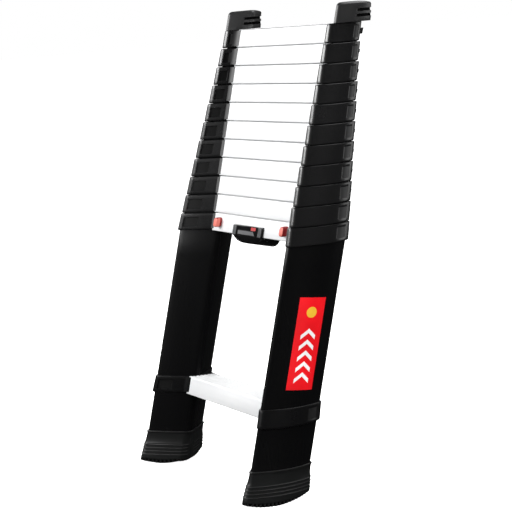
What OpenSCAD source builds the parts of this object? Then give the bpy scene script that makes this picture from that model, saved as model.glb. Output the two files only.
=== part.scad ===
// Telescoping ladder, closed, standing at its working lean.
// Each stile is a nest of rounded triangular tubes that slide along one leaning axis.
// Collars, treads and soles are cut level, so they lie flat while the ladder leans.
// X runs across the ladder, -Y is the climber's side, and Z = 0 is the floor. The origin lies on
// the floor under the middle of the whole ladder.

/* [Ladder] */
// Lean of the stiles from the vertical, in degrees
lean = 15; // [12:0.5:18]
// Distance between the centre lines of the two stiles
stile_spacing = 432; // [400:2:480]
// Distance between two treads when a section is fully out, along the stile
rung_spacing = 300; // [280:2:300]
// Distance between two treads when the sections are closed, along the stile
closed_pitch = 33.62; // [33.5:0.02:35]
// Height of the top of the release collar above the floor
stack_base = 445.4; // [430:0.2:460]

/* [Stile profile] */
// Corner of the lowest tube's level section nearest the climber, from the stile's centre line
nose_corner = [13.2, -28.8];
// Corner of that section furthest from the climber
back_corner = [12.6, 58];
// Corner of that section nearest the other stile
inner_corner = [-42.5, 13.7];
// Radius that rounds the three corners
corner_r = 9.8; // [8:0.1:12]
// Half of the angle that the curved outer side turns through, in degrees
outer_bulge = 34; // [20:1:40]
// The same for the two nearly flat sides
side_bulge = 4; // [2:0.5:8]
// How much smaller each tube is than the one around it, as a share of the lowest tube
taper = 0.057; // [0.055:0.001:0.06]
// Wall of each tube
tube_wall = 1.2; // [1:0.05:1.3]
// Length of every tube but the lowest, along the stile
inner_tube_length = 345; // [335:1:360]

/* [Collars] */
// Wall of a collar around its tube
collar_wall = 2.6; // [2:0.1:3]
// Height of the collars on the lowest tube
base_collar_height = 30; // [26:1:32]
// Gap between two stacked collars
stack_gap = 0.9; // [0.6:0.1:1.5]
// Depth of the moulded windows and pockets in a collar
pocket_depth = 1.2; // [0.6:0.1:1.4]
// Centre of the rounded front edge of the top collar, from the stile's centre line
top_collar_nose = [-6, -6];

/* [Rungs] */
// Depth of a tread in the stack
tread_depth = 40; // [36:1:42]
// Depth of the lowest tread
bottom_tread_depth = 47; // [44:1:50]
// Height of a rung
rung_height = 31.4; // [30:0.1:31.5]
// Wall of a rung
rung_wall = 1.6; // [1.2:0.1:2]
// Number of anti-slip ribs on a tread
tread_ribs = 6; // [4:1:12]
// Height of a tread rib
rib_height = 0.8; // [0.4:0.1:1.2]

/* [Release] */
// Width, depth and height of a release button
button_size = [16, 11.2, 16.6];
// Travel of a release button towards the middle of the rung
button_travel = 7; // [5:0.5:8]
// Radius of a lock pin
pin_r = 4; // [3:0.25:4.5]
// Width of the centre housing and of the handle under it
housing_width = 122; // [116:2:130]
// Distance of the housing's middle from the ladder's middle
housing_x = -8.5; // [-12:0.5:0]
// Drop of the carry handle below the rung, at its front and at its rear
handle_drop = [12.5, 21];
// Depth of the carry handle from front to rear
handle_depth = 38; // [30:1:40]

/* [Feet and caps] */
// Height of a rubber foot
foot_height = 57; // [50:1:62]
// How far the sole flares out around the tube
sole_flare = 5.6; // [4:0.2:7]
// Rise of the sole at toe and heel
sole_rise = 7; // [4:0.5:9]
// Length of the flat land in the middle of the sole
sole_land = 30; // [20:1:40]
// Height of a top cap
cap_height = 34; // [30:1:38]
// Corners of a top cap's level section: at the front, at the back and nearest the other stile
cap_nose = [5.9, -4.8];
cap_back = [3.3, 47.4];
cap_inner = [-20, 22];
// Radius that rounds a cap's three corners
cap_r = 7.8; // [7.2:0.1:9]

/* [Label] */
// Length and width of the side label
label_size = [150, 47];
// Height of the label's middle above the floor
label_middle = 255; // [240:1:270]
// Drop of the label's ends towards the back, in degrees
label_tilt = 7; // [0:1:15]

/* [Hidden] */
sections = 11;
rungs = sections + 1;

slip = 0.2;           // clearance of fitted parts
skin = 0.05;          // gap between faces that touch
arc_steps = 8;        // facets along each curved stretch of a profile
level_pitch = closed_pitch * cos(lean);
centroid = (nose_corner + back_corner + inner_corner) / 3;
drift = [-0.3, 0.1];  // step of the nest's centre from each tube to the next
middle_y = 109.2;     // from the rungs' front plane at the floor to the middle of the ladder
overrun = 60;         // spare length that the level cuts take off a leaning piece
span = 400;           // half the width of a slab that is wider than the ladder
black = [0.05, 0.05, 0.055];
rubber = [0.12, 0.12, 0.125];
satin = [0.86, 0.87, 0.88];
red = [0.80, 0.08, 0.07];

// ---- heights, lean and the level section of each tube ----

// Level height of the top of section n's collar, and of the tread of rung k
function collar_top(n) = stack_base + (n - 1) * level_pitch;
function tread_top(k) = k == 1 ? stack_base - rung_spacing * cos(lean) : collar_top(k - 1);

// Place in Y of the rungs' front plane at height z
function lean_y(z) = z * tan(lean) - middle_y;

function direction(a) = [cos(a), sin(a)];
function arc(centre, r, from, to) =
    [for (i = [0:arc_steps]) centre + r * direction(from + (to - from) * i / arc_steps)];

// Outward angle of the side from a to b, going round anticlockwise
function side_angle(a, b) = atan2(a.x - b.x, b.y - a.y);

// Direction in which a bulged side faces, at a share of the way from a to b
function side_facing(a, b, bulge, share) = side_angle(a, b) + bulge * (2 * share - 1);

// Point at that share, with a distance outside the corner points that goes from ra to rb
function side_point(a, b, bulge, ra, rb, share) =
    let (
        side_r = norm(b - a) / 2 / sin(bulge),
        centre = (a + b) / 2 - side_r * cos(bulge) * direction(side_angle(a, b))
    )
    centre + (side_r + ra + (rb - ra) * share) * direction(side_facing(a, b, bulge, share));

function side(a, b, bulge, ra, rb) =
    [for (i = [0:arc_steps]) side_point(a, b, bulge, ra, rb, i / arc_steps)];

// Closed outline of a rounded triangle with bulged sides; each side ends where a corner starts
function rounded_triangle(a, b, c, r, nose_r) =
    let (
        ab = side_angle(a, b) + outer_bulge,
        bc = side_angle(b, c),
        ca = side_angle(c, a) + 360
    )
    concat(
        side(a, b, outer_bulge, nose_r, r),
        arc(b, r, ab, bc - side_bulge),
        side(b, c, side_bulge, r, r),
        arc(c, r, bc + side_bulge, ca - side_bulge),
        side(c, a, side_bulge, r, nose_r),
        arc(a, nose_r, ca + side_bulge, side_angle(a, b) + 360 - outer_bulge)
    );

// Size of section n's tube against the lowest one, and where its corners come
function shrink(n) = 1 - (n - 1) * taper;
function corner(p, n) = centroid + shrink(n) * (p - centroid) + (n - 1) * drift;
function tube_outline(n, grow = 0) =
    let (r = corner_r * shrink(n) + grow)
    rounded_triangle(corner(nose_corner, n), corner(back_corner, n), corner(inner_corner, n), r, r);

// Reach of section n's tube towards the other stile, and the height in Y of that corner
function inner_x(n) = corner(inner_corner, n).x - corner_r * shrink(n);
function inner_y(n) = corner(inner_corner, n).y;
function outer_y(n) = corner(nose_corner, n).y - corner_r * shrink(n);

// ---- helpers ----

// Section n's profile, squeezed so that a level cut through the leaning tube is the outline
module profile(points) polygon([for (p = points) [p.x, p.y * cos(lean)]]);

// A 2D profile run up the leaning axis and cut level at two heights
module leaning_prism(low, high) {
    intersection() {
        translate([0, -middle_y, 0]) rotate([-lean, 0, 0])
            translate([0, 0, low / cos(lean) - overrun])
                linear_extrude((high - low) / cos(lean) + 2 * overrun) children();
        slab(low, high);
    }
}

// Everything between two heights
module slab(low, high) translate([-span, -span, low]) cube([2 * span, 2 * span, high - low]);

// The right stile's centre line, and both stiles
module right_side() translate([stile_spacing / 2, 0, 0]) children();
module left_side() mirror([1, 0, 0]) right_side() children();
module both_sides() {
    right_side() children();
    left_side() children();
}

// Rod along X on the lock pins' line at height z, from x0 to x1, and the same on rung k
module rod_at(z, r, x0, x1)
    translate([x0, lean_y(z) + pin_y, z]) rotate([0, 90, 0]) cylinder(h = x1 - x0, r = r, $fn = 48);
module pin_rod(k, r, x0, x1) rod_at(pin_height(k), r, x0, x1);
pin_y = inner_y(1);
function pin_height(k) = tread_top(k) - rung_height / 2;

// ---- tubes ----

function tube_low(n) = n == 1 ? lowest_end : collar_top(n) - inner_tube_length * cos(lean);
function tube_high(n) = n == sections ? collar_top(n) : collar_top(n) - lip;
lowest_end = 8;       // height of the lowest tube's end, inside the foot
lip = 2.2;            // thickness of a collar's top lip

module tubes(n) {
    latch_height = tube_low(n) + (inner_tube_length - rung_spacing) * cos(lean) - rung_height / 2;
    color(black) both_sides() difference() {
        leaning_prism(tube_low(n), tube_high(n)) difference() {
            profile(tube_outline(n));
            profile(tube_outline(n, -tube_wall));
        }
        // hole that lets the lock pin of this tube's own rung through
        if (n < sections)
            rod_at(pin_height(n + 1), pin_r + slip, inner_x(n) - hole_start, inner_x(n) + hole_end);
        // hole that the lock pin of the section below drops into when this tube is fully out
        if (n > 1) rod_at(latch_height, pin_r + slip, inner_x(n) - hole_start, inner_x(n) + hole_end);
    }
}
hole_start = 5;       // a pin hole's cutter starts this far outside the tube and ends this far inside
hole_end = 8;

// ---- collars ----

socket_depth = 12;    // how far a collar's socket reaches into the rung
block_margin = 3;     // depth of a collar's block behind the rung
tab_size = [7, 3, 8]; // width, depth and height of the tab at a collar's back
tab_root = 2;         // how deep the tab is rooted in the collar
pin_way = 40;         // length of a pin's way through a collar and its block
window_share = 0.69;  // middle of a window, from the inner corner to the front edge
pocket_share = 0.82;  // middle of a pocket, from the front edge to the back corner
window_width = 0.32;  // width of a window as a share of its face
pocket_width = 0.16;
pocket_height = 0.55; // height of both as a share of the collar's

// Front edges of the collars lie on a straight line from the lowest collar to the top one
nose_r = corner_r + collar_wall;
function collar_nose(n) = nose_corner + (top_collar_nose - nose_corner) * (n - 1) / (sections - 1);
function collar_r(n) = corner_r * shrink(n) + collar_wall;
function collar_outline(n) =
    rounded_triangle(
        collar_nose(n), corner(back_corner, n), corner(inner_corner, n), collar_r(n), nose_r
    );

// The ring around the tube, with a block behind the corner that closes the rung's end
module collar_plan(n, depth) {
    face_x = inner_x(n) - collar_wall;
    back_x = corner(back_corner, n).x;
    profile(collar_outline(n));
    profile([[face_x, inner_y(n)], [back_x, inner_y(n)], [back_x, depth], [face_x, depth]]);
}

// A shallow box sunk into a side at a share of the way from corner a to corner b
module sunk_box(a, b, bulge, ra, rb, share, width, depth, mid, height) {
    place = side_point(a, b, bulge, ra, rb, share);
    translate([place.x, place.y + lean_y(mid), mid])
        rotate([0, 0, side_facing(a, b, bulge, share)])
            translate([-depth, -width / 2, -height / 2]) cube([overrun, width, height]);
}

// A window in the slanted inner face and a pocket near the back of the outer face
module collar_pockets(n, low, high) {
    nose = collar_nose(n);
    inner = corner(inner_corner, n);
    back = corner(back_corner, n);
    mid = (low + high) / 2;
    height = (high - low) * pocket_height;
    sunk_box(inner, nose, side_bulge, collar_r(n), nose_r, window_share,
        norm(nose - inner) * window_width, pocket_depth, mid, height);
    sunk_box(nose, back, outer_bulge, nose_r, collar_r(n), pocket_share,
        norm(nose - back) * pocket_width, pocket_depth / 2, mid, height);
}

module collar(n, low, high, depth) {
    rung = n + 1;
    mid = (low + high) / 2;
    difference() {
        union() {
            leaning_prism(low, high) collar_plan(n, depth + block_margin);
            // socket inside the rung's end
            intersection() {
                translate([-stile_spacing / 2, 0, 0]) rung_plug(rung, depth, inner_x(n), socket_depth);
                slab(low, high);
            }
            // tab at the back
            translate([corner(back_corner, n).x - tab_size.x / 2, lean_y(mid) + back_y(n) - tab_root, mid])
                translate([0, 0, -tab_size.z / 2]) cube(tab_size + [0, tab_root, 0]);
        }
        leaning_prism(low - 1, high - lip) profile(tube_outline(n, skin));
        leaning_prism(high - lip - 1, high + 1) profile(mouth(n));
        collar_pockets(n, low, high);
        pin_rod(rung, pin_r + skin, inner_x(n) - pin_way, inner_x(n) + hole_end);
    }
}

// Opening in a collar's lip: it guides the next tube, and the top one has no lip
function mouth(n) = n == sections ? tube_outline(n, skin) : tube_outline(n + 1, lip_clearance);
lip_clearance = 0.35;

function back_y(n) = corner(back_corner, n).y + corner_r * shrink(n) + collar_wall;

module collars(n) {
    height = n == 1 ? base_collar_height : level_pitch - stack_gap;
    color(black) both_sides() collar(n, collar_top(n) - height, collar_top(n), tread_depth);
}

// The lowest rung's collars clamp around the lowest tube without a lip
module bottom_collars() {
    high = tread_top(1);
    low = high - base_collar_height;
    color(black) both_sides() difference() {
        union() {
            leaning_prism(low, high) collar_plan(1, bottom_tread_depth + block_margin);
            translate([-stile_spacing / 2, 0, 0])
                rung_plug(1, bottom_tread_depth, inner_x(1), socket_depth);
        }
        leaning_prism(low - 1, high + 1) profile(tube_outline(1, skin));
        collar_pockets(1, low, high);
    }
}

// ---- rungs ----

heel_drop = 11;       // height of a rung's upright back face
heel_share = 0.55;    // depth of a rung's underside as a share of its tread
front_edge = 1.5;     // bevel along a rung's lower front edge
rib_shares = [0.3, 0.7];  // where a rib's flat top starts and ends, as shares of the rib pitch
end_reach = 18;       // length of a rung's end past the lowest tube's inner corner, before it is shaped
end_taper = 14;       // the part of that length which shrinks with the tube

// Rung outline in the Y-Z plane, inset on every side; the tread is level, the front follows the lean
function rung_outline(k, depth, inset, ribs) =
    let (
        top = tread_top(k) - inset,
        low = tread_top(k) - rung_height + inset,
        front = inset / cos(lean),
        heel = top - heel_drop + inset / 2,
        rib_pitch = (depth - 2 * inset) / tread_ribs
    )
    concat(
        [[lean_y(low) + front + front_edge, low]],
        [[lean_y(low + front_edge) + front, low + front_edge]],
        ribs ?
            [for (i = [0:tread_ribs - 1]) each [
                [lean_y(top) + front + i * rib_pitch, top - rib_height],
                [lean_y(top) + front + (i + rib_shares[0]) * rib_pitch, top],
                [lean_y(top) + front + (i + rib_shares[1]) * rib_pitch, top]
            ]] :
            [[lean_y(top) + front, top]],
        [[lean_y(top) + depth - inset, top - (ribs ? rib_height : 0)]],
        [[lean_y(heel) + depth - inset, heel]],
        [[lean_y(low) + depth * heel_share - inset / 2, low]]
    );

// A solid with the rung's inside shape, from the collar's face at x towards the middle
module rung_plug(k, depth, x, length) {
    inside = rung_outline(k, depth, rung_wall + slip, false);
    along_x(stile_spacing / 2 + x - length - collar_wall, length + collar_wall) polygon(inside);
}

// Extrudes a Y-Z outline along X
module along_x(x, length) translate([x, 0, 0]) rotate([90, 0, 90]) linear_extrude(length) children();

module rung_tube(k) {
    n = max(1, k - 1);
    depth = k == 1 ? bottom_tread_depth : tread_depth;
    reach = stile_spacing / 2 + inner_x(n) + end_reach - end_taper * (1 - shrink(n));
    difference() {
        along_x(-reach, 2 * reach) difference() {
            polygon(rung_outline(k, depth, 0, true));
            polygon(rung_outline(k, depth, rung_wall, false));
        }
        // ends shaped to the collars
        both_sides() leaning_prism(tread_top(k) - 2 * rung_height, tread_top(k) + rung_height)
            offset(delta = skin) collar_plan(n, 2 * depth);
    }
}

module rung(k) {
    color(satin) difference() {
        rung_tube(k);
        if (k == 2) for (side = [-1, 1]) button_slot(side);
    }
}

// ---- release buttons, lock pins and springs ----

button_x = 140;       // middle of a button from the middle of the rung
button_drop = 14.4;   // middle of a button below the tread
stem = [4, 8, 6];     // width, depth and height of the stem behind the button
stem_middle = 2.5;    // middle of the stem behind the rungs' front plane
slot_play = 0.6;      // spare height of the stem's slot in the rung
carriage = [20, 13, 15];
carriage_front = 4;   // front of the carriage behind the rungs' front plane
pin_seat = 5;         // from the carriage's inner end to the pin's end
button_z = tread_top(2) - button_drop;
stem_x = button_x + button_size.x / 2 - stem.x / 2 - 1;

module button_slot(side) {
    length = stem.x + button_travel + 1;
    x = side * (stem_x - button_travel / 2);
    translate([x, lean_y(button_z), button_z])
        cube([length, 1.5 * stem.y, stem.z + slot_play], center = true);
}

// The button, its stem and the carriage that holds the lock pin, on the right
module release_button() {
    y = lean_y(button_z);
    difference() {
        union() {
            translate([button_x, y, button_z]) rotate([90 - lean, 0, 0])
                translate([0, 0, slip]) linear_extrude(button_size.y * cos(lean))
                    chamfered_square(button_size.x, button_size.z, button_edge);
            translate([stem_x, y + stem_middle, button_z]) cube(stem, center = true);
            translate([carriage_x - carriage.x / 2, y + carriage_front, pin_height(2) - carriage.z / 2])
                cube(carriage + [0, pin_y - carriage_front - carriage.y / 2, 0]);
        }
        pin_rod(2, pin_r + skin, carriage_x - carriage.x / 2 + pin_seat, carriage_x + carriage.x);
    }
}
carriage_x = 137;
button_edge = 3.6;    // bevel round a button's face

module chamfered_square(w, h, edge) {
    polygon([
        [-w / 2 + edge, -h / 2], [w / 2 - edge, -h / 2], [w / 2, -h / 2 + edge], [w / 2, h / 2 - edge],
        [w / 2 - edge, h / 2], [-w / 2 + edge, h / 2], [-w / 2, h / 2 - edge], [-w / 2, -h / 2 + edge]
    ]);
}

tip_gap = 0.4;        // from a lock pin's tip to the next tube
pin_head = [2, 3];    // step out and length of a lock pin's head

// Pin of section n's rung, from inside the rung to just short of the next tube
module lock_pin(n, inboard) {
    tip = inner_x(n + 1) - tip_gap;
    pin_rod(n + 1, pin_r, tip - inboard, tip);
}

module lock_pins(k) {
    n = k - 1;
    head = 26;        // from the pin's tip to its head
    color([0.7, 0.7, 0.72]) both_sides() {
        lock_pin(n, head);
        pin_rod(k, pin_r + pin_head[0], inner_x(n + 1) - head - pin_head[1], inner_x(n + 1) - head);
    }
}

module button_pin() {
    tip = inner_x(2) - tip_gap + stile_spacing / 2;
    pin_rod(2, pin_r, carriage_x - carriage.x / 2 + pin_seat + slip, tip);
}

seat_x = 104;         // the spring's seat from the middle of the rung
seat_wall = 2;
cup_length = 12;
cup_wall = 1.6;
cup_play = 0.4;       // gap between the spring and its cup
spring_r = 3.6;
spring_wire = 0.8;

// Return spring at its pressed length, so that it stays clear of its seat over the whole travel
module release_spring() {
    carriage_face = carriage_x - carriage.x / 2;
    length = carriage_face - seat_x - seat_wall - button_travel - 4 * skin;
    z = pin_height(2);
    turns = 5;
    translate([carriage_face - length - skin, lean_y(z) + pin_y, z]) rotate([0, 90, 0])
        linear_extrude(length, twist = -360 * turns, slices = 14 * turns)
            translate([spring_r, 0]) circle(r = spring_wire, $fn = 6);
}

// Plate across the inside of the rung, with a cup that guides the spring
module spring_seat() {
    cup_r = spring_r + spring_wire + cup_play;
    difference() {
        union() {
            along_x(seat_x, seat_wall) polygon(rung_outline(2, tread_depth, rung_wall + slip, false));
            pin_rod(2, cup_r + cup_wall, seat_x, seat_x + cup_length);
        }
        pin_rod(2, cup_r, seat_x + seat_wall, seat_x + cup_length + 1);
    }
}

module spring_seats() {
    color(black) {
        spring_seat();
        mirror([1, 0, 0]) spring_seat();
    }
}

// ---- centre housing and carry handle on the release rung ----

housing_depth = 4.5;
housing_height = 18.8;
housing_drop = 13.8;    // top of the housing below the tread
housing_top = tread_top(2) - housing_drop;
housing_low = housing_top - housing_height;
post_inset = 18;        // from an end of the housing to the groove beside its post
groove = [1.5, 1.2];    // width and depth of that groove
groove_margin = [4, 1]; // what it leaves at the housing's lower and upper edge
window_ends = [22, 29]; // from the housing's left and right end to the window
window_sill = 3.5;      // from its lower edge to the window
window_head = 8.5;      // from its upper edge to the window
window_seat = 2;        // depth of the window's recess
window_pane = 1.2;      // thickness of the window

// A plate on the leaning front of the rung, from x0 to x1 and z0 to z1, proud by depth
module front_plate(x0, x1, z0, z1, near, depth) {
    along_x(x0, x1 - x0) polygon([
        [lean_y(z0) - near, z0], [lean_y(z1) - near, z1],
        [lean_y(z1) - near - depth, z1], [lean_y(z0) - near - depth, z0]
    ]);
}

module centre_housing() {
    half = housing_width / 2;
    color(black) translate([housing_x, 0, 0]) difference() {
        front_plate(-half, half, housing_low, housing_top, skin, housing_depth);
        // recess for the window, and two grooves that mark off the end posts
        window_plate(0, window_seat + 1);
        for (x = [-half + post_inset, half - post_inset - groove.x])
            front_plate(x, x + groove.x, housing_low + groove_margin[0], housing_top - groove_margin[1],
                housing_depth - groove.y, housing_depth);
    }
}

// The window's place in the housing, drawn in by a gap
module window_plate(gap, depth) {
    half = housing_width / 2;
    front_plate(window_ends[0] - half + gap, half - window_ends[1] - gap,
        housing_low + window_sill + gap, housing_top - window_head - gap,
        housing_depth - window_seat + gap, depth);
}

module indicator_window()
    color([0.45, 0.45, 0.46]) translate([housing_x, 0, 0]) window_plate(slip, window_pane);

handle_top = tread_top(2) - rung_height - skin;
handle_front = 4;       // handle's front face before the rungs' front plane
bow_power = 4;          // how square the bow is: 2 gives a parabola
hollow_height = 9;
hollow_inset = 22;      // from an end of the handle to the finger hollow
hollow_front = 8;       // front of the hollow behind the rungs' front plane
screw_x = 49;
screw_y = 12;           // the screws behind the rungs' front plane
screw_shank = 3;
screw_r = 1.5;
screw_head = 5;         // height of a screw's head
screw_head_r = 3;

// Thin upright slice of the handle: a bow that hangs from the rung by its two ends
module handle_slice(behind, drop) {
    half = housing_width / 2;
    steps = 16;
    bow = [for (i = [0:steps]) let (x = half * (2 * i / steps - 1))
        [x, handle_top - drop * (1 - pow(abs(x / half), bow_power))]];
    translate([0, lean_y(handle_top) + behind, 0]) rotate([90, 0, 0])
        linear_extrude(skin) polygon(concat(bow, [[half, handle_top], [-half, handle_top]]));
}

module carry_handle() {
    half = housing_width / 2;
    color(black) translate([housing_x, 0, 0]) difference() {
        hull() {
            handle_slice(-handle_front, handle_drop[0]);
            handle_slice(handle_depth - handle_front, handle_drop[1]);
        }
        // seat of the housing
        front_plate(-half - 1, half + 1, housing_low - skin, handle_top + 1, 0, housing_depth + 1);
        // finger hollow from behind
        translate([hollow_inset - half, lean_y(handle_top) + hollow_front, handle_top - hollow_height])
            cube([2 * (half - hollow_inset), handle_depth, hollow_height + 1]);
        for (x = [-screw_x, screw_x]) {
            handle_screw(x, skin);
            // way in for the screw's head
            handle_screw_rod(x, handle_drop[1], handle_drop[1] - screw_head, screw_head_r + skin);
        }
    }
}

module handle_screw_rod(x, below, height, r)
    translate([x, lean_y(handle_top) + screw_y, handle_top - below]) cylinder(h = height, r = r, $fn = 32);

module handle_screw(x, grow) {
    handle_screw_rod(x, screw_shank, screw_shank, screw_r + grow);
    handle_screw_rod(x, screw_shank + screw_head, screw_head + skin, screw_head_r + grow);
}

module handle_screws()
    color([0.6, 0.6, 0.62]) for (x = [-screw_x, screw_x]) handle_screw(x + housing_x, 0);

// ---- feet and top caps ----

cutter = 200;         // side of a cutter that is wider than a foot
foot_layers = 10;
groove_layers = [2, 4, 6, 8];
groove_sink = 1.2;    // depth of the grooves between a foot's ridges
foot_wall = 2.4;      // wall of a foot at its top

// A rubber boot built of level layers: flared at the sole, with ridges, and a domed sole
module foot() {
    step = foot_height / foot_layers;
    mid_y = lean_y(0) + (outer_y(1) + back_y(1)) / 2;
    length = back_y(1) - outer_y(1) + 2 * sole_flare;
    sole_r = pow(length / 2, 2) / 2 / sole_rise;
    color(rubber) difference() {
        union() for (i = [0:foot_layers - 1]) {
            sink = len(search(i, groove_layers)) > 0 ? groove_sink : 0;
            flare = foot_wall + (sole_flare - foot_wall) * (1 - i / foot_layers);
            leaning_prism(i * step, (i + 1) * step) profile(tube_outline(1, flare - sink));
        }
        leaning_prism(tube_low(1) - skin, foot_height + 1) profile(tube_outline(1, skin));
        // dome of the sole, beyond its flat land
        for (side = [-1, 1]) translate([-cutter / 2, mid_y + side * sole_land / 2, sole_r])
            rotate([0, 90, 0]) difference() {
                translate([0, side > 0 ? 0 : -cutter, 0]) cube([sole_r + 1, cutter, cutter]);
                cylinder(h = cutter, r = sole_r, $fn = 96);
            }
    }
}

cap_layers = 7;
cap_dome = 6;         // height of a cap's rounded top
cap_low = collar_top(sections) + skin;
cap_rear = cap_back.y + cap_r;
slot_levels = [8, 17];
slot_size = [5, 29, 4];  // depth, length and height of a slot
slot_end = 2.5;       // left standing between a slot and the cap's rear
cap_plug = 18;        // length of the plug below a cap

function cap_outline(grow) = rounded_triangle(cap_nose, cap_back, cap_inner, cap_r + grow, cap_r + grow);

// Place in Y of the upright land that rests on the wall: the cap's rear at its lower edge
function land_y() = lean_y(cap_low) + cap_rear;

// A slot round the sides of a cap, closed at the rear
module cap_slot(level) {
    low = cap_low + level;
    intersection() {
        leaning_prism(low, low + slot_size.z) difference() {
            profile(cap_outline(1));
            profile(cap_outline(-slot_size.x));
        }
        translate([-span, land_y() - slot_size.y - slot_end, low - 1])
            cube([2 * span, slot_size.y, slot_size.z + 2]);
    }
}

module top_cap() {
    mid = cap_low + cap_height - cap_dome;
    color(rubber) difference() {
        union() {
            leaning_prism(cap_low, mid) profile(cap_outline(0));
            for (i = [1:cap_layers]) {
                angle = 90 * i / cap_layers;
                leaning_prism(mid, mid + cap_dome * sin(angle))
                    profile(cap_outline(-cap_dome * (1 - cos(angle))));
            }
            // plug inside the top tube
            leaning_prism(cap_low - cap_plug, cap_low + 1) profile(tube_outline(sections, -tube_wall - slip));
        }
        for (level = slot_levels) cap_slot(level);
        // upright land
        translate([-span, land_y(), cap_low - cap_plug]) cube([2 * span, span, 2 * cap_height]);
    }
}

// ---- label on the right stile ----

module side_label() {
    along = label_size.x / 2 * [sin(lean), cos(lean)];
    across = label_size.y / 2 * [cos(label_tilt), -sin(label_tilt)];
    centre = [lean_y(label_middle) + corner(centroid, 1).y, label_middle];
    color(red) intersection() {
        right_side() leaning_prism(label_middle - label_size.x, label_middle + label_size.x) difference() {
            profile(tube_outline(1, skin + label_thickness));
            profile(tube_outline(1, skin));
        }
        along_x(stile_spacing / 2, overrun) polygon([
            centre - along - across, centre - along + across,
            centre + along + across, centre + along - across
        ]);
    }
}
label_thickness = 0.3;

// ---- one line per node ----

for (n = [1:sections]) tubes(n);
for (n = [1:sections]) collars(n);
for (k = [1:rungs]) rung(k);
for (k = [3:rungs - 1]) lock_pins(k);
bottom_collars();
left_side() foot();  // left_foot
right_side() foot();  // right_foot
left_side() top_cap();  // left_top_cap
right_side() top_cap();  // right_top_cap
color(red) mirror([1, 0, 0]) release_button();  // left_release_button
color(red) release_button();  // right_release_button
color("silver") mirror([1, 0, 0]) button_pin();  // left_lock_pin
color("silver") button_pin();  // right_lock_pin
color("silver") mirror([1, 0, 0]) release_spring();  // left_release_spring
color("silver") release_spring();  // right_release_spring
spring_seats();
centre_housing();
indicator_window();
carry_handle();
handle_screws();
side_label();
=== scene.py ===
"""Looks of the telescoping ladder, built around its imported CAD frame.

Lengths are in millimetres and turn into metres when a mesh is made. A level plan gives every
stile part its shape; the parts then follow the stiles, which lean back from the climber.
"""
import math

import bmesh
import bpy
import numpy as np
from mathutils import Matrix, Vector


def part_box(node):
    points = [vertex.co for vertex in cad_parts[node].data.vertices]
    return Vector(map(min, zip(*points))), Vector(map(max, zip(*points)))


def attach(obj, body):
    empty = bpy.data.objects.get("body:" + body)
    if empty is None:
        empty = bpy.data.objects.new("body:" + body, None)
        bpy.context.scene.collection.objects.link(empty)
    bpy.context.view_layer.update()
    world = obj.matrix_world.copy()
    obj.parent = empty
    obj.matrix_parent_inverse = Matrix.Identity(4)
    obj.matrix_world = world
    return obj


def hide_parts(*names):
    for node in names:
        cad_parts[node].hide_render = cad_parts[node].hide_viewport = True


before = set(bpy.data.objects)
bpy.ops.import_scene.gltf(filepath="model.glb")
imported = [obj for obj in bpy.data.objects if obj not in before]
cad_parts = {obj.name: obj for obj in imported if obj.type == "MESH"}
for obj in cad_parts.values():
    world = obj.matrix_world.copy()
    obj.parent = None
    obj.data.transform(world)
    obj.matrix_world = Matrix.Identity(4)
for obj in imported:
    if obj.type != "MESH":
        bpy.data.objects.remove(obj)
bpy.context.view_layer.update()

# ---- driving sizes, the same as the CAD model's ----

SECTIONS = 11
RUNGS = SECTIONS + 1
LEAN = math.radians(15)
STILE_X = 216.0
NOSE = np.array([13.2, -28.8])
BACK = np.array([12.6, 58.0])
INNER = np.array([-42.5, 13.7])
CENTROID = (NOSE + BACK + INNER) / 3
CORNER_R = 9.8
BULGES = (math.radians(34), math.radians(4), math.radians(4))
TAPER = 0.057
DRIFT = np.array([-0.3, 0.1])
TUBE_WALL = 1.2
COLLAR_WALL = 2.6
COLLAR_NOSE_TOP = np.array([-6.0, -6.0])
COLLAR_NOSE_R = CORNER_R + COLLAR_WALL
LIP = 2.2
TREAD_DEPTH = 40.0
BOTTOM_TREAD_DEPTH = 47.0
RUNG_HEIGHT = 31.4
TREAD_RIBS = 6
MIDDLE_Y = 109.2
MM = 0.001


def top_of(node):
    """Height of a CAD node's top, in millimetres."""
    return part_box(node)[1].z / MM


def bottom_of(node):
    """Height of a CAD node's underside, in millimetres."""
    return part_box(node)[0].z / MM


# ---- level plans ----

OUTER_SIDE, BACK_CORNER, BACK_SIDE, INNER_CORNER, INNER_SIDE, NOSE_CORNER = range(6)
STEPS = (28, 8, 10, 8, 14, 8)


def stations(extra=(), fine=1):
    """(stretch, share along it) places round a plan; extra holds the edges of pockets."""
    places = [(s, i / (STEPS[s] * fine)) for s in range(6) for i in range(STEPS[s] * fine)]
    places = sorted(set(places) | set(extra))
    return np.array([p[0] for p in places]), np.array([p[1] for p in places])


def side_angle(a, b):
    """Outward direction of the side from a to b."""
    return math.atan2(a[0] - b[0], b[1] - a[1])


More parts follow.
